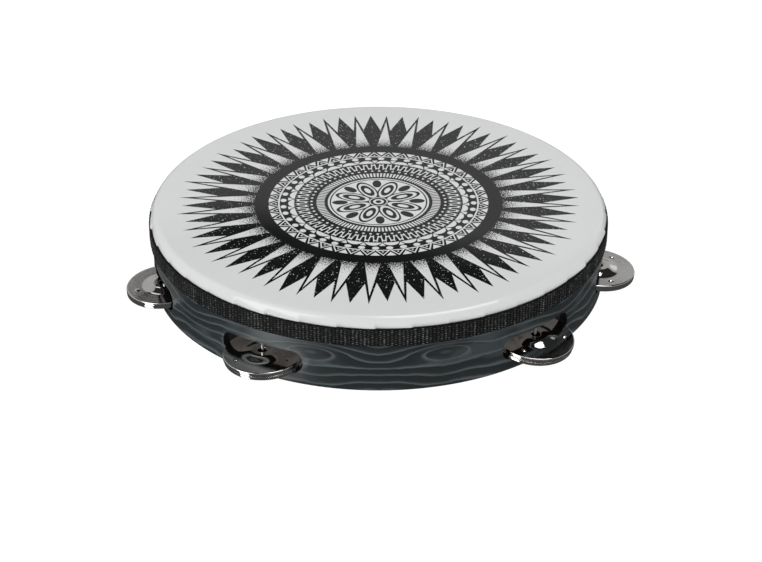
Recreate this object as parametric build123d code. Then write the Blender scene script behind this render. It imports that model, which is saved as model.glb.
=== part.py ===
from build123d import *
import os

# A headed frame drum with jingles. The drum stands on its open rim: its base is at z = 0,
# its axis is Z, its head faces +Z, and the plain stretch that the hand grips faces -Y.
# Lengths are in millimetres and angles in degrees.

# Drum
drum_radius = 127.0
drum_depth = 44.0
wall_thickness = 5.5
skin_thickness = 0.4
shoulder_radius = 4.0
rim_rounding = 0.8
skirt_low = 29.0

# Binding tape, wound over the joint between the head's skirt and the shell's wrap
tape_low = 28.4
tape_high = 38.5
tape_thickness = 1.8
tape_rounding = 0.7

# Jingle slots, counted anticlockwise from above, starting at the right of the grip gap
pair_angles = [-54.5, -14.9, 26.2, 67.4, 108.5, 149.7, 190.9, 234.5]
slot_length = 48.6
slot_low = 6.8
slot_high = 19.5
slot_corner = 5.9

# Jingle pins: steel nails driven up through the rim
pin_radius = 1.0
pin_high = 27.0
pin_point = 0.6
pin_head_radius = 1.4
pin_head_low = 0.3
pin_head_thickness = 0.8

# Jingles: thin pressed cups, in pairs that face each other rim to rim
jingle_radius = 20.8
jingle_sheet = 0.75
jingle_flange = 1.9
jingle_bend = 0.9
jingle_lip = 0.15
dome_radius = 11.5
dome_height = 1.1
jingle_hole_radius = 2.5
pair_height = 10.45
pair_gap = 0.3
side_shift = 0.35

# How far each loose pair leans outwards on its pin
pair_droops = [6.0, 4.5, 3.0, 5.0, 2.0, 4.0, 3.5, 0.5]

# Worked out from the dimensions above
shell_radius = drum_radius - skin_thickness
inner_radius = drum_radius - wall_thickness
shell_depth = drum_depth - skin_thickness
pin_circle_radius = (inner_radius + drum_radius) / 2
pin_head_high = pin_head_low + pin_head_thickness


def turned(outline):
    """The solid that an outline, drawn as (radius, height), sweeps about the Z axis."""
    return revolve(Plane.XZ * outline, Axis.Z)


def band(inner, outer, low, high):
    """The outline of a plain ring."""
    return Pos((inner + outer) / 2, (low + high) / 2) * Rectangle(outer - inner, high - low)


def rod(radius, low, high):
    """A vertical cylinder between two heights, on the Z axis."""
    return Pos(0, 0, (low + high) / 2) * Cylinder(radius, high - low)


def corner(outline, radius, height):
    """The outline's corner at a given radius and height."""
    return outline.vertices().sort_by_distance((radius, height, 0))[0]


def at_pair(angle, shape):
    """Move a shape from the Z axis onto the pin circle, with +X pointing outwards."""
    return Rot(0, 0, angle) * Pos(pin_circle_radius, 0, 0) * shape


def make_slot_cutters():
    middle = (slot_low + slot_high) / 2
    reach = 3 * wall_thickness
    wall_side = Plane(origin=(-reach / 2, 0, middle), x_dir=(0, 1, 0), z_dir=(1, 0, 0))
    outline = wall_side * RectangleRounded(slot_length, slot_high - slot_low, slot_corner)
    cutter = extrude(outline, amount=reach)
    return [at_pair(angle, cutter) for angle in pair_angles]


def make_pin_holes():
    hole = rod(pin_radius, 0, pin_high) + rod(pin_head_radius, 0, pin_head_high)
    return [at_pair(angle, hole) for angle in pair_angles]


def make_shell():
    outline = band(inner_radius, shell_radius, 0, shell_depth)
    outline = fillet(corner(outline, shell_radius, shell_depth), shoulder_radius - skin_thickness)
    for radius, height in ((inner_radius, 0), (shell_radius, 0), (inner_radius, shell_depth)):
        outline = fillet(corner(outline, radius, height), rim_rounding)
    return turned(outline) - make_slot_cutters() - make_pin_holes()


def make_shell_wrap():
    outline = band(shell_radius, drum_radius, rim_rounding, skirt_low)
    return turned(outline) - make_slot_cutters()


def make_drumhead():
    outline = make_face(
        Polyline(
            (0, drum_depth),
            (drum_radius, drum_depth),
            (drum_radius, skirt_low),
            (shell_radius, skirt_low),
            (shell_radius, shell_depth),
            (0, shell_depth),
            close=True,
        )
    )
    outline = fillet(corner(outline, drum_radius, drum_depth), shoulder_radius)
    outline = fillet(corner(outline, shell_radius, shell_depth), shoulder_radius - skin_thickness)
    return turned(outline)


def make_binding_tape():
    tape_radius = drum_radius + tape_thickness
    outline = band(drum_radius, tape_radius, tape_low, tape_high)
    for height in (tape_low, tape_high):
        outline = fillet(corner(outline, tape_radius, height), tape_rounding)
    return turned(outline)


def make_jingle_pin():
    shank = rod(pin_radius, pin_head_high, pin_high)
    shank = chamfer(shank.edges().sort_by(Axis.Z)[-1], pin_point)
    return shank + rod(pin_head_radius, pin_head_low, pin_head_high)


def make_jingle():
    """One cup, hollow side down, with the edge of its flange at z = 0."""
    flat = jingle_flange
    top = jingle_flange + dome_height
    under_flat = flat - jingle_sheet
    under_top = top - jingle_sheet
    level = ((1, 0), (1, 0))
    flange = FilletPolyline(
        (dome_radius, flat),
        (jingle_radius, flat),
        (jingle_radius, 0),
        (jingle_radius - jingle_sheet, 0),
        (jingle_radius - jingle_sheet, under_flat),
        (dome_radius, under_flat),
        radius=[jingle_bend, jingle_lip, jingle_lip, jingle_bend - jingle_sheet],
    )
    dome = Spline((jingle_hole_radius, top), (dome_radius, flat), tangents=level)
    under_dome = Spline((jingle_hole_radius, under_top), (dome_radius, under_flat), tangents=level)
    hole_edge = Line((jingle_hole_radius, under_top), (jingle_hole_radius, top))
    return turned(make_face([*flange.edges(), dome, under_dome, hole_edge]))


def place_pair(angle, droop, side):
    """The upper and the lower jingle of one pair, leaning outwards about the pin."""
    jingle = make_jingle()
    upper = Pos(0, side * side_shift, pair_gap / 2) * jingle
    lower = Pos(0, -side * side_shift, -pair_gap / 2) * Rot(180, 0, 0) * jingle
    lean = Pos(0, 0, pair_height) * Rot(0, droop, 0)
    return at_pair(angle, lean * upper), at_pair(angle, lean * lower)


nodes = {
    "shell": make_shell(),
    "shell_wrap": make_shell_wrap(),
    "drumhead": make_drumhead(),
    "binding_tape": make_binding_tape(),
}
for number, (angle, droop) in enumerate(zip(pair_angles, pair_droops), start=1):
    side = 1 if number % 2 else -1
    upper, lower = place_pair(angle, droop, side)
    nodes[f"jingle_pin_{number}"] = at_pair(angle, make_jingle_pin())
    nodes[f"upper_jingle_{number}"] = upper
    nodes[f"lower_jingle_{number}"] = lower

os.makedirs("parts", exist_ok=True)
for name, shape in nodes.items():
    export_step(shape, f"parts/{name}.step")
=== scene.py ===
import math
import random

import bmesh
import bpy
import numpy as np
from mathutils import Matrix, Vector


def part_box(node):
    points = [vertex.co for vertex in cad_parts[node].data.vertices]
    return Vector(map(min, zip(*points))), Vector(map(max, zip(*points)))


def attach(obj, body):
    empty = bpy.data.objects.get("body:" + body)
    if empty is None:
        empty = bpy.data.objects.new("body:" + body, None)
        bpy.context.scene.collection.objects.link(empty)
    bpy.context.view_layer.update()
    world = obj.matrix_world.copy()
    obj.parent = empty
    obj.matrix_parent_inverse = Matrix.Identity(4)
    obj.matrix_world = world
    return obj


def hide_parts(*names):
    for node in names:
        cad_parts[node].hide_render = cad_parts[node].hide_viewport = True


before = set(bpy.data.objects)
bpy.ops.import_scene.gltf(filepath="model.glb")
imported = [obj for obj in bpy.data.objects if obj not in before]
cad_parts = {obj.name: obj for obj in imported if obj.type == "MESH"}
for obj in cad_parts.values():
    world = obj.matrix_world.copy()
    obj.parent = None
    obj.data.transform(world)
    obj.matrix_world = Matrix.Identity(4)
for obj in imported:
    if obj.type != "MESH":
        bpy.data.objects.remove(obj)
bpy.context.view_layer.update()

# Lengths are in metres. Angles that are written out are in degrees, and those read from the
# frame are in radians. Patterns in materials are drawn in millimetres.
MM = 0.001
FULL_TURN = 2 * math.pi
white = (1.0, 1.0, 1.0, 1.0)

# From the frame
head_low, head_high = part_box("drumhead")
tape_box_low, tape_box_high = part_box("binding_tape")
pin_count = sum(name.startswith("jingle_pin_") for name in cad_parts)
drum_radius = head_high.y
drum_depth = head_high.z
skirt_low = head_low.z
tape_radius = tape_box_high.y
tape_low, tape_high = tape_box_low.z, tape_box_high.z
wrap_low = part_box("shell_wrap")[0].z
shell_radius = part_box("shell")[1].y
skin = drum_radius - shell_radius

# Drum
wall_thickness = 5.5 * MM
inner_radius = drum_radius - wall_thickness
shoulder_radius = 4 * MM
rim_rounding = 0.8 * MM

# Jingle slots
slot_length = 48.6 * MM
slot_low = 6.8 * MM
slot_high = 19.5 * MM
slot_corner = 5.9 * MM

# Jingles and their pins
jingle_radius = 20.8 * MM
jingle_sheet = 0.75 * MM
jingle_flange = 1.9 * MM
dome_heights = {"upper": 1.5 * MM, "lower": 1.1 * MM}
jingle_hole_radius = 2.5 * MM
pair_height = 10.45 * MM
pair_gap = 0.3 * MM
side_shift = 0.35 * MM
pin_radius = 1 * MM

# How far each pair leans outwards on its pin, and how far round its upper cup is turned
pair_droops = [6.0, 4.5, 3.0, 5.0, 2.0, 4.0, 3.5, 0.5]
upper_pips = [-3, 47, 15, 80, 31, 104, 75, 84]

# The radius of the black disc in the middle of the print, in millimetres
disc_radius = 69.4

# The camera, which stands a little to the left of the grip gap
camera_azimuth = -96.3
camera_elevation = 29.87
camera_distance = 1182.6 * MM
camera_aim_right = 1.4 * MM
camera_aim_down = 6.5 * MM
camera_lens_mm = 97.7


# ---------------------------------------------------------------- mesh tools


def new_piece(name, points, faces, material, body, sharp=32):
    """A smooth-shaded mesh with outward normals, riding on a body."""
    mesh = bpy.data.meshes.new(name)
    mesh.from_pydata([tuple(p) for p in points], [], faces)
    work = bmesh.new()
    work.from_mesh(mesh)
    bmesh.ops.recalc_face_normals(work, faces=work.faces)
    work.to_mesh(mesh)
    work.free()
    mesh.shade_smooth()
    mesh.set_sharp_from_angle(angle=math.radians(sharp))
    mesh.materials.append(material)
    piece = bpy.data.objects.new(name, mesh)
    bpy.context.scene.collection.objects.link(piece)
    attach(piece, body)
    return piece


def arc_points(centre, radius, start, end, steps):
    """Points on an arc, from one angle to another, both included."""
    angles = np.radians(np.linspace(start, end, steps + 1))
    return [(centre[0] + radius * math.cos(a), centre[1] + radius * math.sin(a)) for a in angles]


def turned_grid(outline, turns, looped):
    """Points and faces of an outline of (radius, height) swept about Z. Radius 0 makes a pole."""
    angles = np.arange(turns) * FULL_TURN / turns
    points, rows = [], []
    for radius, height in outline:
        if radius < 1e-9:
            rows.append([len(points)] * turns)
            points.append((0.0, 0.0, height))
        else:
            rows.append(list(range(len(points), len(points) + turns)))
            points += [(radius * math.cos(a), radius * math.sin(a), height) for a in angles]
    neighbours = list(zip(rows, rows[1:]))
    if looped:
        neighbours.append((rows[-1], rows[0]))
    faces = []
    for near, far in neighbours:
        for n in range(turns):
            m = (n + 1) % turns
            faces.append(list(dict.fromkeys((near[n], near[m], far[m], far[n]))))
    return np.array(points), faces


# ---------------------------------------------------------------- node tools


def feed(tree, slot, item):
    """Give a node's input a number, or join it to a Value."""
    if isinstance(item, Value):
        tree.links.new(item.socket, slot)
    else:
        slot.default_value = item


class Value:
    """A number in a material, so that a pattern reads as a formula.

    & takes the lesser of two numbers, | takes the greater, and ~ takes a number from 1.
    """

    def __init__(self, tree, socket):
        self.tree = tree
        self.socket = socket

    def math(self, operation, *others, clamp=False):
        node = self.tree.nodes.new("ShaderNodeMath")
        node.operation = operation
        node.use_clamp = clamp
        for slot, item in zip(node.inputs, (self, *others)):
            feed(self.tree, slot, item)
        return Value(self.tree, node.outputs[0])

    def __add__(self, other):
        return self.math("ADD", other)

    def __sub__(self, other):
        return self.math("SUBTRACT", other)

    def __mul__(self, other):
        return self.math("MULTIPLY", other)

    def __truediv__(self, other):
        return self.math("DIVIDE", other)

    def __neg__(self):
        return self * -1.0

    def __abs__(self):
        return self.math("ABSOLUTE")

    def __pow__(self, other):
        return self.math("POWER", other)

    def __and__(self, other):
        return self.math("MINIMUM", other)

    def __or__(self, other):
        return self.math("MAXIMUM", other)

    def __invert__(self):
        return (self * -1.0) + 1.0

    def sine(self):
        return self.math("SINE")

    def cosine(self):
        return self.math("COSINE")

    def fraction(self):
        return self.math("FRACT")

    def clamped(self):
        return self.math("MULTIPLY", 1.0, clamp=True)

    def bell(self):
        """1 where the number is 0, falling away smoothly as it grows."""
        return (self * -1.0).math("EXPONENT")

    def above(self, edge, softness):
        """1 where the number is above the edge, 0 below, with a soft change between."""
        return ((self - edge) / softness).math("ADD", 0.5, clamp=True)

    def below(self, edge, softness):
        return ~self.above(edge, softness)

    def between(self, low, high, softness):
        return self.above(low, softness) & self.below(high, softness)


class Paint:
    """A material being made: its tree, its shader and the position that patterns read."""

    def __init__(self, name):
        self.material = bpy.data.materials.new(name)
        self.material.use_nodes = True
        self.tree = self.material.node_tree
        self.shader = self.tree.nodes["Principled BSDF"]
        self.place = self.tree.nodes.new("ShaderNodeTexCoord").outputs["Object"]
        split = self.tree.nodes.new("ShaderNodeSeparateXYZ")
        self.tree.links.new(self.place, split.inputs[0])
        self.x, self.y, self.z = (Value(self.tree, out) / MM for out in split.outputs)

    def polar(self, turn_from=0.0):
        """Distance from the Z axis in millimetres, and the angle as turns from -0.5 to 0.5."""
        angle = math.radians(turn_from)
        across = self.x * math.cos(angle) + self.y * math.sin(angle)
        along = self.y * math.cos(angle) - self.x * math.sin(angle)
        radius = (self.x * self.x + self.y * self.y).math("SQRT")
        return radius, along.math("ARCTAN2", across) / FULL_TURN

    def point(self, x, y, z):
        node = self.tree.nodes.new("ShaderNodeCombineXYZ")
        for slot, item in zip(node.inputs, (x, y, z)):
            feed(self.tree, slot, item)
        return node.outputs[0]

    def noise(self, scale, at=None, detail=2.0, rough=0.5):
        """Noise from 0 to 1. The scale is per metre, or per unit of a given point."""
        node = self.tree.nodes.new("ShaderNodeTexNoise")
        node.inputs["Scale"].default_value = scale
        node.inputs["Detail"].default_value = detail
        node.inputs["Roughness"].default_value = rough
        self.tree.links.new(at or self.place, node.inputs["Vector"])
        return Value(self.tree, node.outputs[0])

    def attribute(self, name):
        node = self.tree.nodes.new("ShaderNodeAttribute")
        node.attribute_name = name
        return Value(self.tree, node.outputs["Fac"])

    def blend(self, share, first, second):
        """A colour between two, each a triple or another blend."""
        node = self.tree.nodes.new("ShaderNodeMix")
        node.data_type = "RGBA"
        self.tree.links.new(share.socket, node.inputs["Factor"])
        for slot, item in (("A", first), ("B", second)):
            socket = [s for s in node.inputs if s.name == slot and s.type == "RGBA"][0]
            if isinstance(item, tuple):
                socket.default_value = (*item, 1.0)
            else:
                self.tree.links.new(item, socket)
        return [s for s in node.outputs if s.type == "RGBA"][0]

    def colour(self, socket):
        self.tree.links.new(socket, self.shader.inputs["Base Color"])

    def vary(self, name, value, low, high):
        """Drive one of the shader's numbers between two limits."""
        scaled = value * (high - low) + low
        self.tree.links.new(scaled.socket, self.shader.inputs[name])

    def bump(self, height, depth):
        """Small relief. The height runs from 0 to 1 and the depth is in metres."""
        node = self.tree.nodes.new("ShaderNodeBump")
        node.inputs["Distance"].default_value = depth
        self.tree.links.new(height.socket, node.inputs["Height"])
        self.tree.links.new(node.outputs[0], self.shader.inputs["Normal"])

    def fixed(self, **values):
        """Numbers that are the same all over, set on the shader itself."""
        for name, value in values.items():
            self.shader.inputs[name.replace("_", " ")].default_value = value


# ---------------------------------------------------------------- materials


def spread(radius, turn, count):
    """Distance across from the nearest of evenly pitched spokes, in millimetres."""
    return abs((turn * count).fraction() - 0.5) * radius * (FULL_TURN / count)


def spike(radius, across, base, tip, half_width):
    """A straight-sided spike that is so wide at its base radius and comes to a point."""
    return ((-radius + tip) * (half_width / (tip - base)) - across).above(0.0, 0.12)


def ray_ink(paint, radius, turn):
    """The sunburst: white spikes with a black outline in front of solid black spikes."""
    count, uneven = 36, 8.0
    number = (turn * count).math("FLOOR")
    number_between = (turn * count + 0.5).math("FLOOR")
    luck = paint.noise(1.0, paint.point(number * 3.7, 0.5, 0.5), detail=0.0) - 0.5
    luck_between = paint.noise(1.0, paint.point(number_between * 3.7, 9.5, 0.5), detail=0.0) - 0.5
    drawn = radius + (paint.noise(230.0, detail=1.0) - 0.5) * 0.8
    white_at = drawn - luck * uneven
    black_at = drawn - luck_between * uneven
    across = spread(radius, turn, count)
    across_between = spread(radius, turn + 0.5 / count, count)
    inside = spike(white_at, across, disc_radius, 104.0, 4.2)
    outline = spike(white_at, across, disc_radius, 112.5, 6.1)
    solid = spike(black_at, across_between, 89.0, 111.0, 5.5)
    return (outline | solid) & ~inside & radius.above(disc_radius - 0.2, 0.12), inside


def triangles(radius, turn, count, base, apex, half_width):
    """Small triangles in a ring, pointing from a base radius to an apex radius."""
    reach = (radius - apex) / (base - apex)
    low, high = min(base, apex), max(base, apex)
    body = (reach * half_width - spread(radius, turn, count)).above(0.0, 0.14)
    return body & radius.between(low, high, 0.14)


def dots(radius, turn, count, ring, size, long=1.0):
    """Round dots along a ring."""
    along = spread(radius, turn, count) / long
    across = radius - ring
    return (along * along + across * across).math("SQRT").below(size / 2, 0.15)


def petals(radius, turn, count, centre, long, wide):
    """How far out a point is from the middle of an oval petal, as a share of its size."""
    angle = ((turn * count).fraction() - 0.5) * (FULL_TURN / count)
    along = (radius * angle.cosine() - centre) / long
    across = (radius * angle.sine()) / wide
    return (along * along + across * across).math("SQRT")


def rosette(radius, turn):
    """A plain flower of eight banded petals, with a bud between each two."""
    count = 8
    petal = petals(radius, turn, count, 14.6, 11.0, 4.9)
    bud = petals(radius, turn + 0.5 / count, count, 21.6, 4.4, 2.5)
    flower = petal.below(1.0, 0.03) & ~petal.between(0.62, 0.82, 0.03)
    heart = petal.below(0.3, 0.03)
    hub = radius.below(4.6, 0.12) & ~radius.between(1.6, 3.0, 0.12)
    rim = radius.between(26.6, 27.4, 0.12)
    return (flower & ~heart & radius.above(5.2, 0.12)) | bud.below(1.0, 0.05) | hub | rim


def meander(radius, turn):
    """A white line that winds round the disc in rounded steps."""
    middle, reach, count, steepness = 42.9, 2.25, 60, 2.0
    full = math.tanh(steepness)
    phase = turn * (count * FULL_TURN)
    step = (phase.sine() * steepness).math("TANH") / full
    slope = ~(step * step * (full * full)) * phase.cosine()
    slope = slope * (reach * steepness / full * count / middle)
    steep = (slope * slope + 1.0).math("SQRT")
    return (abs(radius - (step * reach + middle)) / steep).below(0.52, 0.14)


def medallion_ink(radius, turn):
    """The black disc inside the rays and the white bands on it."""
    many, few = 44, 30
    between_many, between_few = turn + 0.5 / many, turn + 0.5 / few
    teeth = triangles(radius, turn, many, 61.6, 57.6, 2.7)
    vee = triangles(radius, between_many, many, 55.4, 61.7, 4.3)
    vee = vee & ~triangles(radius, between_many, many, 56.3, 60.4, 2.8)
    vee = vee | dots(radius, between_many, many, 57.5, 1.2)
    pearls = dots(radius, turn, many, 53.4, 3.3, 1.15)
    half_rounds = dots(radius, turn, few, 46.9, 7.4, 1.2) & radius.above(47.3, 0.15)
    arrows = triangles(radius, between_few, few, 50.9, 47.6, 1.7)
    seeds = dots(radius, turn, 60, 37.6, 1.5)
    ticks = (turn * 108).fraction().between(0.22, 0.78, 0.1) & radius.between(30.3, 34.8, 0.15)
    centre = radius.below(28.4, 0.15) & ~rosette(radius, turn)
    bands = half_rounds | arrows | seeds | ticks | meander(radius, turn)
    return radius.below(disc_radius + 0.2, 0.3) & ~(teeth | vee | pearls | bands | centre)


def grit(paint, radius):
    """Black stipple that thins out away from the ring, and rare white flecks in the black."""
    distance = (radius - disc_radius + 0.4) / 13.0
    black = (paint.noise(1500.0, detail=1.0) - distance * 0.30).above(0.39, 0.03)
    flecks = paint.noise(1350.0, detail=0.0).above(0.785, 0.03)
    return black, flecks


def head_material():
    """Gloss white film with a generic sunburst printed on its face, and a painted glow on its
    underside.
    """
    paint = Paint("film_printed")
    print_turn = 2.4
    radius, turn = paint.polar(camera_azimuth + print_turn)
    turn = turn + 1.0
    rays, inside_white = ray_ink(paint, radius, turn)
    stipple, flecks = grit(paint, radius)
    base_grit = stipple & inside_white & radius.between(disc_radius - 0.4, 84.0, 0.3)
    ink = (rays & ~flecks) | base_grit | medallion_ink(radius, turn)
    face = paint.z.above((drum_depth - skin / 4) / MM, 0.05)
    printed = ink & face
    # Painted shadow of the print: below the face, the ink faintly darkens the film and dims its glow,
    # as light through the film would.
    painted_ink_shadow = ink & ~face
    mottle = paint.noise(60.0, detail=3.0)
    film = paint.blend(mottle, (0.655, 0.668, 0.662), (0.685, 0.697, 0.690))
    behind = paint.blend(painted_ink_shadow * 0.16, film, (0.16, 0.16, 0.16))
    patchy = paint.noise(35.0, detail=2.0)
    black = paint.blend(patchy, (0.0045, 0.0048, 0.0050), (0.0085, 0.0090, 0.0092))
    paint.colour(paint.blend(printed, behind, black))
    smear = paint.noise(22.0, detail=4.0, rough=0.6)
    paint.vary("Roughness", smear, 0.02, 0.05)
    paint.bump(paint.noise(14.0, detail=2.0), 0.00012)
    # Painted glow: the underside emits a little warm light in place of light coming through the film.
    # It glows less where the print's painted shadow falls.
    underside = paint.z.below((drum_depth - skin / 2) / MM, 0.05) & radius.below(inner_radius / MM, 0.5)
    paint.vary("Emission Strength", underside * (~painted_ink_shadow * 0.6 + 0.4), 0.0, 0.11)
    paint.fixed(Specular_IOR_Level=0.4, Emission_Color=(1.0, 0.93, 0.86, 1.0))
    return paint.material


def tape_material():
    """Black woven tape. The mesh carries the weave, and the crests get a painted highlight."""
    paint = Paint("tape_weave")
    crest = paint.attribute("crest")
    glint_patches = paint.noise(90.0, detail=3.0)
    thread = paint.noise(5200.0, detail=1.0)
    sparkle = paint.noise(800.0, detail=1.0).above(0.58, 0.16)
    # Painted highlight: the stitch crests are coloured grey in patches, in place of light catching
    # them.
    lit = (crest ** 4.0) * (sparkle + 0.35) * (glint_patches * 1.1 + 0.25)
    black, grey = (0.0026, 0.0028, 0.0027), (0.37, 0.385, 0.38)
    paint.colour(paint.blend(lit.clamped(), black, grey))
    paint.vary("Roughness", thread, 0.55, 0.8)
    paint.bump(thread, 0.00008)
    paint.fixed(Specular_IOR_Level=0.15)
    return paint.material


def wrap_material():
    """Dark slate laminate with a paler printed grain, mirrored about the front."""
    paint = Paint("wrap_grain")
    arc = abs(paint.polar(camera_azimuth)[1]) * (FULL_TURN * drum_radius / MM)
    slow = paint.noise(1.0, paint.point(arc / 58.0, paint.z / 30.0, 3.7), detail=1.0)
    fine = paint.noise(1.0, paint.point(arc / 13.0, paint.z / 9.0, 8.2), detail=2.0)
    # The lines close into ovals 35 mm to each side of the front, and draw together between them.
    knot = (((arc - 35.0) / 17.0) ** 2.0 + ((paint.z - 22.0) / 4.8) ** 2.0).bell()
    pinch = (((arc - 2.0) / 20.0) ** 2.0).bell() * ((paint.z - 18.0) / 12.0)
    field = paint.z / 6.0 + slow * 3.4 + fine * 0.45 - knot * 2.7 + pinch * 0.9
    phase = field.fraction()
    line = phase.above(0.03, 0.06) & phase.below(0.24, 0.22)
    haze = (~phase) ** 3.0 * 0.35
    patch = paint.noise(1.0, paint.point(arc / 26.0, paint.z / 11.0, 1.1), detail=2.0)
    cloud = paint.noise(1.0, paint.point(arc / 34.0, paint.z / 10.0, 6.4), detail=3.0)
    strength = (line | haze | (cloud.above(0.57, 0.1) * 0.42)) * (patch * 1.4 + 0.2)
    fibre = paint.noise(1.0, paint.point(arc / 3.0, paint.z / 0.35, 5.0), detail=2.0)
    dark = paint.blend(fibre, (0.0130, 0.0170, 0.0180), (0.0205, 0.0255, 0.0268))
    pale = (0.079, 0.098, 0.107)
    paint.colour(paint.blend(strength.clamped(), dark, pale))
    paint.vary("Roughness", paint.noise(40.0, detail=3.0), 0.28, 0.42)
    paint.bump(paint.noise(420.0, detail=2.0), 0.00003)
    paint.fixed(Specular_IOR_Level=0.4)
    return paint.material


def core_material():
    """Dark stained wood-fibre composite, with fine flattened fibres."""
    paint = Paint("fibre_composite")
    radius, turn = paint.polar()
    arc = turn * (FULL_TURN * inner_radius / MM)
    fibre = paint.noise(1.0, paint.point(arc / 5.0, paint.z / 0.9, radius / 0.8), detail=4.0, rough=0.6)
    cloud = paint.noise(45.0, detail=3.0)
    stain = paint.blend(fibre, (0.038, 0.032, 0.027), (0.105, 0.090, 0.076))
    stain = paint.blend(cloud * 0.5, stain, (0.050, 0.044, 0.038))
    cut = radius.above((inner_radius + rim_rounding / 2) / MM, 0.3)
    black = paint.blend(fibre, (0.0045, 0.0042, 0.0040), (0.0110, 0.0104, 0.0100))
    paint.colour(paint.blend(cut, stain, black))
    paint.vary("Roughness", fibre, 0.5, 0.78)
    paint.bump(fibre, 0.00025)
    paint.fixed(Specular_IOR_Level=0.4)
    return paint.material


def nickel_material():
    """Polished nickel plate: faint spun lines, hairline scratches and a little tarnish."""
    paint = Paint("nickel_plate")
    radius, turn = paint.polar()
    spun = paint.noise(1.0, paint.point(radius / 0.16, turn * 3.0, 0.5), detail=2.0)
    scratch = paint.noise(1.0, paint.point(paint.x / 0.12, paint.y / 7.0, paint.z), detail=1.0)
    tarnish = paint.noise(130.0, detail=4.0, rough=0.65)
    paint.colour(paint.blend(tarnish, (0.74, 0.725, 0.705), (0.60, 0.585, 0.565)))
    marks = scratch.above(0.66, 0.08) * 0.5 + tarnish * 0.5
    paint.vary("Roughness", marks, 0.02, 0.09)
    paint.bump(spun, 0.000012)
    paint.fixed(Metallic=1.0)
    return paint.material


def steel_material():
    """Bright drawn steel wire with die marks along it."""
    paint = Paint("nail_steel")
    drawn = paint.noise(1.0, paint.point(paint.x / 0.12, paint.y / 0.12, paint.z / 12.0), detail=2.0)
    paint.colour(paint.blend(drawn, (0.52, 0.51, 0.50), (0.33, 0.32, 0.31)))
    paint.vary("Roughness", drawn, 0.16, 0.36)
    paint.bump(drawn, 0.00004)
    paint.fixed(Metallic=1.0)
    return paint.material


# ---------------------------------------------------------------- the head


def crimp_bulge(angle, height, crimps):
    """How far the film stands out above the tape: it steps in at each crimp and swells again."""
    least, growth = 0.12, 0.88
    count = len(crimps)
    turn = (angle / FULL_TURN) % 1 * count
    number = int(turn) % count
    where = turn - int(turn)
    size, lean = crimps[number]
    after = crimps[(number + 1) % count][0]
    fall = 0.08 + 0.05 * lean
    swell = least + growth * (where / (1 - fall)) ** 0.7 * size
    if where > 1 - fall:
        left = ((1 - where) / fall) ** 1.5
        swell = (least + growth * size) * left + least * (1 - left) * after
    reach = math.exp(-(((height - tape_high) / MM - 0.9) / 1.7) ** 2)
    return swell * reach


def make_head(material):
    """One film: a flat face, a rounded shoulder, and a skirt crimped in above the tape."""
    crimp_count, steps, most = 41, 44, 1.3 * MM
    luck = random.Random(5)
    crimps = [(luck.uniform(0.35, 1.0), luck.uniform(0.0, 1.0)) for _ in range(crimp_count)]
    face = [(r * MM, drum_depth) for r in (0, 8, 24, 48, 72, 96, 112, 119)]
    centre = (drum_radius - shoulder_radius, drum_depth - shoulder_radius)
    shoulder = arc_points(centre, shoulder_radius, 90, 0, 12)
    skirt_heights = np.linspace(drum_depth - shoulder_radius, tape_high - 0.4 * MM, 8)[1:]
    skirt = [(drum_radius, z) for z in skirt_heights] + [(drum_radius, skirt_low)]
    inside = [(shell_radius, skirt_low), (shell_radius, drum_depth - shoulder_radius)]
    inside += arc_points(centre, shoulder_radius - skin, 0, 90, 6)[1:]
    underside = [(r * MM, drum_depth - skin) for r in (112, 96, 72, 48, 24, 8, 0)]
    outer = face + shoulder + skirt
    points, faces = turned_grid(outer + inside + underside, crimp_count * steps, looped=False)
    radii = np.hypot(points[:, 0], points[:, 1])
    bulge_from = centre[0] + (shoulder_radius - skin / 2) * 0.55
    for n, (x, y, z) in enumerate(points):
        if radii[n] > bulge_from and z > tape_high - 0.3 * MM:
            out = 1 + most * crimp_bulge(math.atan2(y, x), z, crimps) / radii[n]
            points[n, :2] = x * out, y * out
    head = new_piece("head_film", points, faces, material, "drum")
    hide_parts("drumhead")


# ---------------------------------------------------------------- the tape


def make_tape(material):
    """Woven tape: staggered stitches in upright columns, with a scalloped edge."""
    columns, per_column, rows, per_row = 404, 4, 8, 4
    relief, edge, scallop = 0.5 * MM, 0.55 * MM, 0.16 * MM
    base = tape_radius - relief
    turns = columns * per_column
    heights = np.linspace(tape_low + edge, tape_high - edge, rows * per_row + 1)
    outline = [(drum_radius, tape_low)]
    outline += arc_points((base - edge, tape_low + edge), edge, -90, 0, 3)[:-1]
    first = len(outline)
    outline += [(base, z) for z in heights]
    last = len(outline)
    outline += arc_points((base - edge, tape_high - edge), edge, 0, 90, 3)[1:]
    outline += [(drum_radius, tape_high)]
    points, faces = turned_grid(outline, turns, looped=True)
    crest = np.zeros(len(points))
    luck = random.Random(11)
    loose = [luck.uniform(0.75, 1.0) for _ in range(columns)]
    for n in range(len(outline)):
        for step in range(turns):
            column, across = divmod(step, per_column)
            hump = math.sin(math.pi * (across + 0.5) / per_column)
            index = n * turns + step
            if first <= n < last:
                level = (n - first) / per_row + 0.5 * (column % 2)
                stitch = abs(math.sin(math.pi * level))
                height = (0.1 + 0.9 * stitch) * hump * loose[column]
                crest[index] = stitch * math.sqrt(hump) * loose[column]
            elif 0 < n < len(outline) - 1:
                height = 0.5 * hump
                points[index, 2] += (1 if n >= last else -1) * scallop * hump
            else:
                height = 0.0
            x, y = points[index, :2]
            out = 1 + relief * height / math.hypot(x, y)
            points[index, :2] = x * out, y * out
    tape = new_piece("tape_weave", points, faces, material, "drum", sharp=180)
    tape.data.attributes.new("crest", "FLOAT", "POINT").data.foreach_set("value", crest)
    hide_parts("binding_tape")


# ---------------------------------------------------------------- the shell


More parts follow.
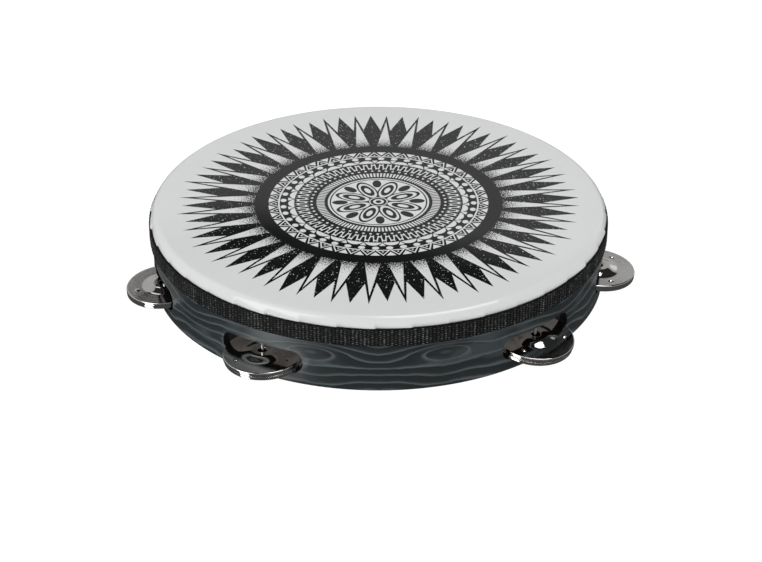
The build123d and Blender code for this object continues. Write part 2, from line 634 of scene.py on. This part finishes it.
class SlottedRing:
    """A ring with a rounded slot at each pin. Its columns bend round the slots' corners."""

    corner_steps, slot_steps, gap_steps = 7, 22, 26
    low_rows, middle_rows, high_rows = 3, 6, 4

    def __init__(self, slot_angles):
        self.slot_angles = sorted(slot_angles)
        self.points = []
        self.faces = []

    def columns(self, radius, grow):
        """(angle, low edge, high edge, kind) all round, for a slot outline grown by a little."""
        corner = slot_corner + grow
        half = slot_length / 2 + grow
        straight = half - corner
        bends = np.radians(np.linspace(90, 0, self.corner_steps + 1))
        profile = [(-straight - corner * math.sin(b), corner * (1 - math.cos(b))) for b in bends]
        profile += [(s, 0.0) for s in np.linspace(-straight, straight, self.slot_steps + 1)[1:-1]]
        profile += [(-s, rise) for s, rise in profile[self.corner_steps :: -1]]
        made = []
        for number, angle in enumerate(self.slot_angles):
            for step, (s, rise) in enumerate(profile):
                low = slot_low - grow + rise
                high = slot_high + grow - rise
                kind = "end" if step in (0, len(profile) - 1) else "slot"
                made.append((angle + math.asin(s / radius), low, high, kind))
            following = self.slot_angles[(number + 1) % len(self.slot_angles)]
            following += FULL_TURN if following < angle else 0
            start = angle + math.asin(half / radius)
            end = following - math.asin(half / radius)
            for step in range(1, self.gap_steps):
                between = start + (end - start) * step / self.gap_steps
                made.append((between, slot_low + slot_corner, slot_high - slot_corner, "gap"))
        return made

    def add(self, radius, angle, height):
        """Add a point and return its number."""
        self.points.append((radius * math.cos(angle), radius * math.sin(angle), height))
        return len(self.points) - 1

    def wall(self, radius, grow, bottom, top):
        """One of the ring's two faces. Returns its bottom, its top and its slots' edges."""
        grid = []
        for angle, low, high, kind in self.columns(radius, grow):
            lower = [self.add(radius, angle, z) for z in np.linspace(bottom, low, self.low_rows + 1)]
            upper = [self.add(radius, angle, z) for z in np.linspace(high, top, self.high_rows + 1)]
            middle = []
            if kind != "slot":
                heights = np.linspace(low, high, self.middle_rows + 1)[1:-1]
                middle = [self.add(radius, angle, z) for z in heights]
            grid.append((lower, middle, upper, kind))
        for this, after in zip(grid, grid[1:] + grid[:1]):
            self.strip(this[0], after[0])
            self.strip(this[2], after[2])
            if "gap" in (this[3], after[3]):
                whole = [[c[0][-1], *c[1], c[2][0]] for c in (this, after)]
                self.strip(*whole)
        return [c[0][0] for c in grid], [c[2][-1] for c in grid], self.slot_loops(grid)

    def slot_loops(self, grid):
        """The edge of each slot, as a closed loop of points."""
        ends = [n for n, c in enumerate(grid) if c[3] == "end"]
        loops = []
        for left, right in zip(ends[::2], ends[1::2]):
            inside = grid[left : right + 1]
            loop = [c[0][-1] for c in inside] + grid[right][1]
            loop += [c[2][0] for c in reversed(inside)] + grid[left][1][::-1]
            loops.append(loop)
        return loops

    def slot_edge(self, radius, grow):
        """The slots' edges alone, at a depth between the two faces."""
        made = []
        inside = []
        for angle, low, high, kind in self.columns(radius, grow):
            if kind == "gap":
                continue
            inside.append((angle, low, high))
            if kind == "end" and len(inside) > 1:
                side = np.linspace(0, 1, self.middle_rows + 1)[1:-1]
                right, left = inside[-1], inside[0]
                loop = [self.add(radius, a, low_z) for a, low_z, _ in inside]
                loop += [self.add(radius, right[0], right[1] + (right[2] - right[1]) * s) for s in side]
                loop += [self.add(radius, a, high_z) for a, _, high_z in reversed(inside)]
                loop += [self.add(radius, left[0], left[2] - (left[2] - left[1]) * s) for s in side]
                made.append(loop)
                inside = []
        return made

    def rim_edge(self, radius, height):
        """A closed line round a rim, with a point for each column."""
        return [self.add(radius, c[0], height) for c in self.columns(radius, 0.0)]

    def strip(self, first, second, looped=False):
        """A row of four-sided faces between two lines of points."""
        count = len(first)
        for n in range(count if looped else count - 1):
            m = (n + 1) % count
            self.faces.append((first[n], first[m], second[m], second[n]))

    def close(self, outer, inner, depths, bottoms, tops):
        """Join the two faces through the slots' edges and the two rims."""
        slot_chain = [outer[2], *[self.slot_edge(r, g) for r, g in depths], inner[2]]
        for near, far in zip(slot_chain, slot_chain[1:]):
            for first, second in zip(near, far):
                self.strip(first, second, looped=True)
        for end, edges in ((0, bottoms), (1, tops)):
            chain = [outer[end], *[self.rim_edge(r, z) for r, z in edges], inner[end]]
            for near, far in zip(chain, chain[1:]):
                self.strip(near, far, looped=True)


def make_wrap(material, slot_angles):
    """The laminate, with its edges eased at the slots and at the rim."""
    ease = 0.22 * MM
    near = 0.3 * ease
    ring = SlottedRing(slot_angles)
    outer = ring.wall(drum_radius, ease, wrap_low + ease, skirt_low)
    inner = ring.wall(shell_radius, 0.0, wrap_low, skirt_low)
    depths = [(drum_radius - near, near), (drum_radius - ease, 0.0)]
    bottoms = [(drum_radius - near, wrap_low + near), (drum_radius - ease, wrap_low)]
    ring.close(outer, inner, depths, bottoms, [])
    wrap = new_piece("wrap_grain", ring.points, ring.faces, material, "drum")
    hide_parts("shell_wrap")


def make_shell(material, slot_angles):
    """The composite ring, rounded at both rims and eased at the slots' inner edges."""
    ease, top_round = 0.5 * MM, shoulder_radius - skin
    top = drum_depth - skin
    ring = SlottedRing(slot_angles)
    outer = ring.wall(shell_radius, 0.0, rim_rounding, top - top_round)
    inner = ring.wall(inner_radius, ease, rim_rounding, top - rim_rounding)
    near = 0.3 * ease
    depths = [(inner_radius + ease, 0.0), (inner_radius + near, near)]
    outer_foot = (shell_radius - rim_rounding, rim_rounding)
    inner_foot = (inner_radius + rim_rounding, rim_rounding)
    outer_head = (shell_radius - top_round, top - top_round)
    inner_head = (inner_radius + rim_rounding, top - rim_rounding)
    bottoms = arc_points(outer_foot, rim_rounding, 0, -90, 4)[1:]
    bottoms += arc_points(inner_foot, rim_rounding, -90, -180, 4)[:-1]
    tops = arc_points(outer_head, top_round, 0, 90, 6)[1:]
    tops += arc_points(inner_head, rim_rounding, 90, 180, 4)[:-1]
    ring.close(outer, inner, depths, bottoms, tops)
    shell = new_piece("shell_ring", ring.points, ring.faces, material, "drum")
    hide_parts("shell")


# ---------------------------------------------------------------- jingles and pins


def jingle_outline(dome_height):
    """One cup from the hole outwards, over the dome, round the flange and back inside."""
    bend, lip, lip_low = 0.6 * MM, 0.12 * MM, -0.1 * MM
    flat, under = jingle_flange, jingle_flange - jingle_sheet
    back_radius = jingle_radius - jingle_sheet
    dome_start, dome_end = 5.4 * MM, 12.2 * MM

    def rise(radius):
        share = min(max((radius - dome_start) / (dome_end - dome_start), 0.0), 1.0)
        return dome_height * (1 - share * share * (3 - 2 * share))

    radii = np.linspace(jingle_hole_radius + 0.2 * MM, jingle_radius - bend, 54)
    top = [(r, flat + rise(r)) for r in radii[:-1]]
    corner = arc_points((jingle_radius - bend, flat - bend), bend, 90, 0, 8)
    edge = arc_points((jingle_radius - lip, lip_low + lip), lip, 0, -90, 3)
    edge += arc_points((back_radius + lip, lip_low + lip), lip, -90, -180, 3)
    back = [(min(r, back_radius), under + rise(r)) for r in radii[::-2]]
    hole_top, hole_low = flat + dome_height - 0.2 * MM, under + dome_height + 0.12 * MM
    hole = [(jingle_hole_radius, hole_low), (jingle_hole_radius, hole_top)]
    return top + corner + edge + back + hole


def press_pips(points, turned):
    """Three small raised pips pressed into the flat of the cup."""
    ring, reach, rise = 15.4 * MM, 1.4 * MM, 0.5 * MM
    for angle in np.radians([turned, turned + 120, turned + 240]):
        centre = (ring * math.cos(angle), ring * math.sin(angle))
        away = np.hypot(points[:, 0] - centre[0], points[:, 1] - centre[1])
        near = (away < reach) & (points[:, 2] > jingle_flange / 2)
        points[near, 2] += rise * (0.5 + 0.5 * np.cos(math.pi * away[near] / reach))


def make_jingles(material, pins):
    """Both cups of each pair, face to face and leaning outwards about their pin."""
    luck, turns = random.Random(3), 180
    cups = {
        which: turned_grid(jingle_outline(dome_height), turns, looped=True)
        for which, dome_height in dome_heights.items()
    }
    for number, ((angle, circle), droop) in enumerate(zip(pins, pair_droops), start=1):
        side = side_shift if number % 2 else -side_shift
        pips = {"upper": upper_pips[number - 1], "lower": luck.uniform(0, 120)}
        at_pin = Matrix.Translation((circle * math.cos(angle), circle * math.sin(angle), pair_height))
        across = Vector((-math.sin(angle), math.cos(angle), 0))
        lean = at_pin @ Matrix.Rotation(math.radians(droop), 4, across)
        for which, lift, shift, turn_over in (
            ("upper", pair_gap / 2, side, 0),
            ("lower", -pair_gap / 2, -side, math.pi),
        ):
            name = f"{which}_jingle_{number}"
            points, faces = cups[which][0].copy(), cups[which][1]
            press_pips(points, pips[which])
            piece = new_piece(f"cup_{name}", points, faces, material, "drum", sharp=50)
            offset = Matrix.Translation(across * shift + Vector((0, 0, lift)))
            piece.matrix_world = lean @ offset @ Matrix.Rotation(turn_over, 4, "X")
            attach(piece, name)
            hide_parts(name)


def make_pins(material, pins):
    """Nails with a flat head, a round shank and a blunted point."""
    turns = 48
    thick, ease, point_length, blunt = 0.8 * MM, 0.15 * MM, 0.6 * MM, 0.4 * MM
    for number, (angle, circle) in enumerate(pins, start=1):
        box_low, box_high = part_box(f"jingle_pin_{number}")
        low, high = box_low.z, box_high.z
        head_radius = (box_high.x - box_low.x) / 2
        neck = low + thick
        outline = [(0, low), (head_radius - ease, low), (head_radius, low + ease)]
        outline += [(head_radius, neck - ease), (head_radius - ease, neck)]
        outline += [(pin_radius + ease, neck), (pin_radius, neck + ease)]
        outline += [(pin_radius, high - point_length), (blunt, high), (0, high)]
        points, faces = turned_grid(outline, turns, looped=False)
        points += (circle * math.cos(angle), circle * math.sin(angle), 0)
        pin = new_piece(f"nail_{number}", points, faces, material, "drum")
        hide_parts(f"jingle_pin_{number}")


# ---------------------------------------------------------------- stage, light and camera


def direction(azimuth, elevation):
    """A vector of length 1, so many degrees round from +X and so many up."""
    a, e = math.radians(azimuth), math.radians(elevation)
    return Vector((math.cos(e) * math.cos(a), math.cos(e) * math.sin(a), math.sin(e)))


def facing(place, target):
    """The placement of something at a point that looks at another."""
    turn = (target - place).to_track_quat("-Z", "Y").to_matrix().to_4x4()
    return Matrix.Translation(place) @ turn


def make_camera():
    data = bpy.data.cameras.new("camera")
    data.lens = camera_lens_mm
    data.sensor_width = 36
    camera = bpy.data.objects.new("camera", data)
    bpy.context.scene.collection.objects.link(camera)
    place = direction(camera_azimuth, camera_elevation) * camera_distance
    right = direction(camera_azimuth + 90, 0)
    up = place.cross(right).normalized()
    target = right * camera_aim_right - up * camera_aim_down
    camera.matrix_world = facing(place, target)
    bpy.context.scene.camera = camera


def make_light(name, azimuth, elevation, distance, size, watts, mirrored=True):
    """A softbox aimed at the drum. Only a mirrored one shows in what is shiny."""
    aim = Vector((0, 0, 20 * MM))
    data = bpy.data.lights.new(name, "AREA")
    data.shape = "RECTANGLE"
    data.size, data.size_y = size
    data.energy = watts
    light = bpy.data.objects.new(name, data)
    bpy.context.scene.collection.objects.link(light)
    light.matrix_world = facing(direction(azimuth, elevation) * distance, aim)
    light.visible_glossy = mirrored


def make_sheet(name, width, material):
    """A flat square of paper that belongs to the stage."""
    half = width / 2
    mesh = bpy.data.meshes.new(name)
    corners = [(-half, -half, 0), (half, -half, 0), (half, half, 0), (-half, half, 0)]
    mesh.from_pydata(corners, [], [(0, 1, 2, 3)])
    mesh.materials.append(material)
    sheet = bpy.data.objects.new(name, mesh)
    bpy.context.scene.collection.objects.link(sheet)
    return sheet


def make_bounce_card(place, width, strength):
    """A white card that only shows as a highlight in the jingles' upright edges."""
    paint = Paint("card_paper")
    paint.colour(paint.blend(paint.noise(3.0), (0.86, 0.86, 0.86), (0.88, 0.88, 0.88)))
    paint.fixed(Emission_Strength=strength, Emission_Color=white)
    card = make_sheet("bounce_card", width, paint.material)
    card.matrix_world = facing(place, Vector((0, 0, 0)))
    card.visible_camera = False
    card.visible_diffuse = False
    card.visible_shadow = False


def make_floor():
    """A plain pale floor that glows outside the drum's rim, and that shiny things don't mirror."""
    paint = Paint("floor_paper")
    paint.colour(paint.blend(paint.noise(3.0), (0.17, 0.17, 0.17), (0.19, 0.19, 0.19)))
    paint.fixed(Roughness=0.9, Specular_IOR_Level=0.0, Emission_Color=white)
    outside = paint.polar()[0].above(inner_radius / MM + 2.5, 3.0)
    paint.vary("Emission Strength", outside, 0.0, 0.97)
    floor = make_sheet("floor", 8.0, paint.material)
    floor.visible_glossy = False


def make_world():
    """What the shiny parts mirror: a pale wall, a dark ceiling, dim ground and two pale patches."""
    ceiling_light, wall_light, ground_loss = 0.025, 0.46, 0.41
    world = bpy.data.worlds.new("studio")
    world.use_nodes = True
    bpy.context.scene.world = world
    tree = world.node_tree
    background = tree.nodes["Background"]
    coordinates = tree.nodes.new("ShaderNodeTexCoord")
    split = tree.nodes.new("ShaderNodeSeparateXYZ")
    tree.links.new(coordinates.outputs["Generated"], split.inputs[0])
    x, y, z = (Value(tree, out) for out in split.outputs)
    flag_edge = (abs(x - 0.03) * 0.155 | (-x - 0.04)) + math.sin(math.radians(28.2))
    ceiling = (z - flag_edge).above(0.0, 0.014)
    ground = z.below(-0.02, 0.04)

    def away_from(azimuth, elevation):
        """1 minus the cosine of the angle away from a direction."""
        centre = direction(azimuth, elevation)
        return ~(x * centre.x + y * centre.y + z * centre.z)

    def patch(azimuth, elevation, reach):
        return away_from(azimuth, elevation).below(1 - math.cos(math.radians(reach)), 0.002)

    lamps = patch(105, 47, 5.0) * 1.2 + patch(52, 17, 10.0) * 0.4
    strength = ~ceiling * wall_light + ceiling_light - ground * ground_loss + lamps
    tree.links.new(strength.socket, background.inputs["Strength"])
    background.inputs["Color"].default_value = white


def pin_places():
    """Each pin's angle in radians and its distance from the drum's axis."""
    places = []
    for number in range(1, pin_count + 1):
        low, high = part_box(f"jingle_pin_{number}")
        centre = (low + high) / 2
        places.append((math.atan2(centre.y, centre.x), math.hypot(centre.x, centre.y)))
    return places


pins = pin_places()
slot_angles = [angle for angle, _ in pins]
make_camera()
make_world()
make_floor()
make_light("key_softbox", -150, 38, distance=1.5, size=(0.9, 0.9), watts=9.8)
make_light("top_softbox", 20, 76, distance=1.3, size=(0.75, 0.65), watts=7.2)
make_light("fill_softbox", -40, 35, distance=1.8, size=(1.0, 1.0), watts=6.6, mirrored=False)
make_bounce_card(Vector((-0.62, -0.43, -0.40)), width=0.3, strength=3.2)
make_head(head_material())
make_tape(tape_material())
make_wrap(wrap_material(), slot_angles)
make_shell(core_material(), slot_angles)
make_jingles(nickel_material(), pins)
make_pins(steel_material(), pins)

bpy.context.scene.view_settings.view_transform = "Standard"
bpy.context.view_layer.update()
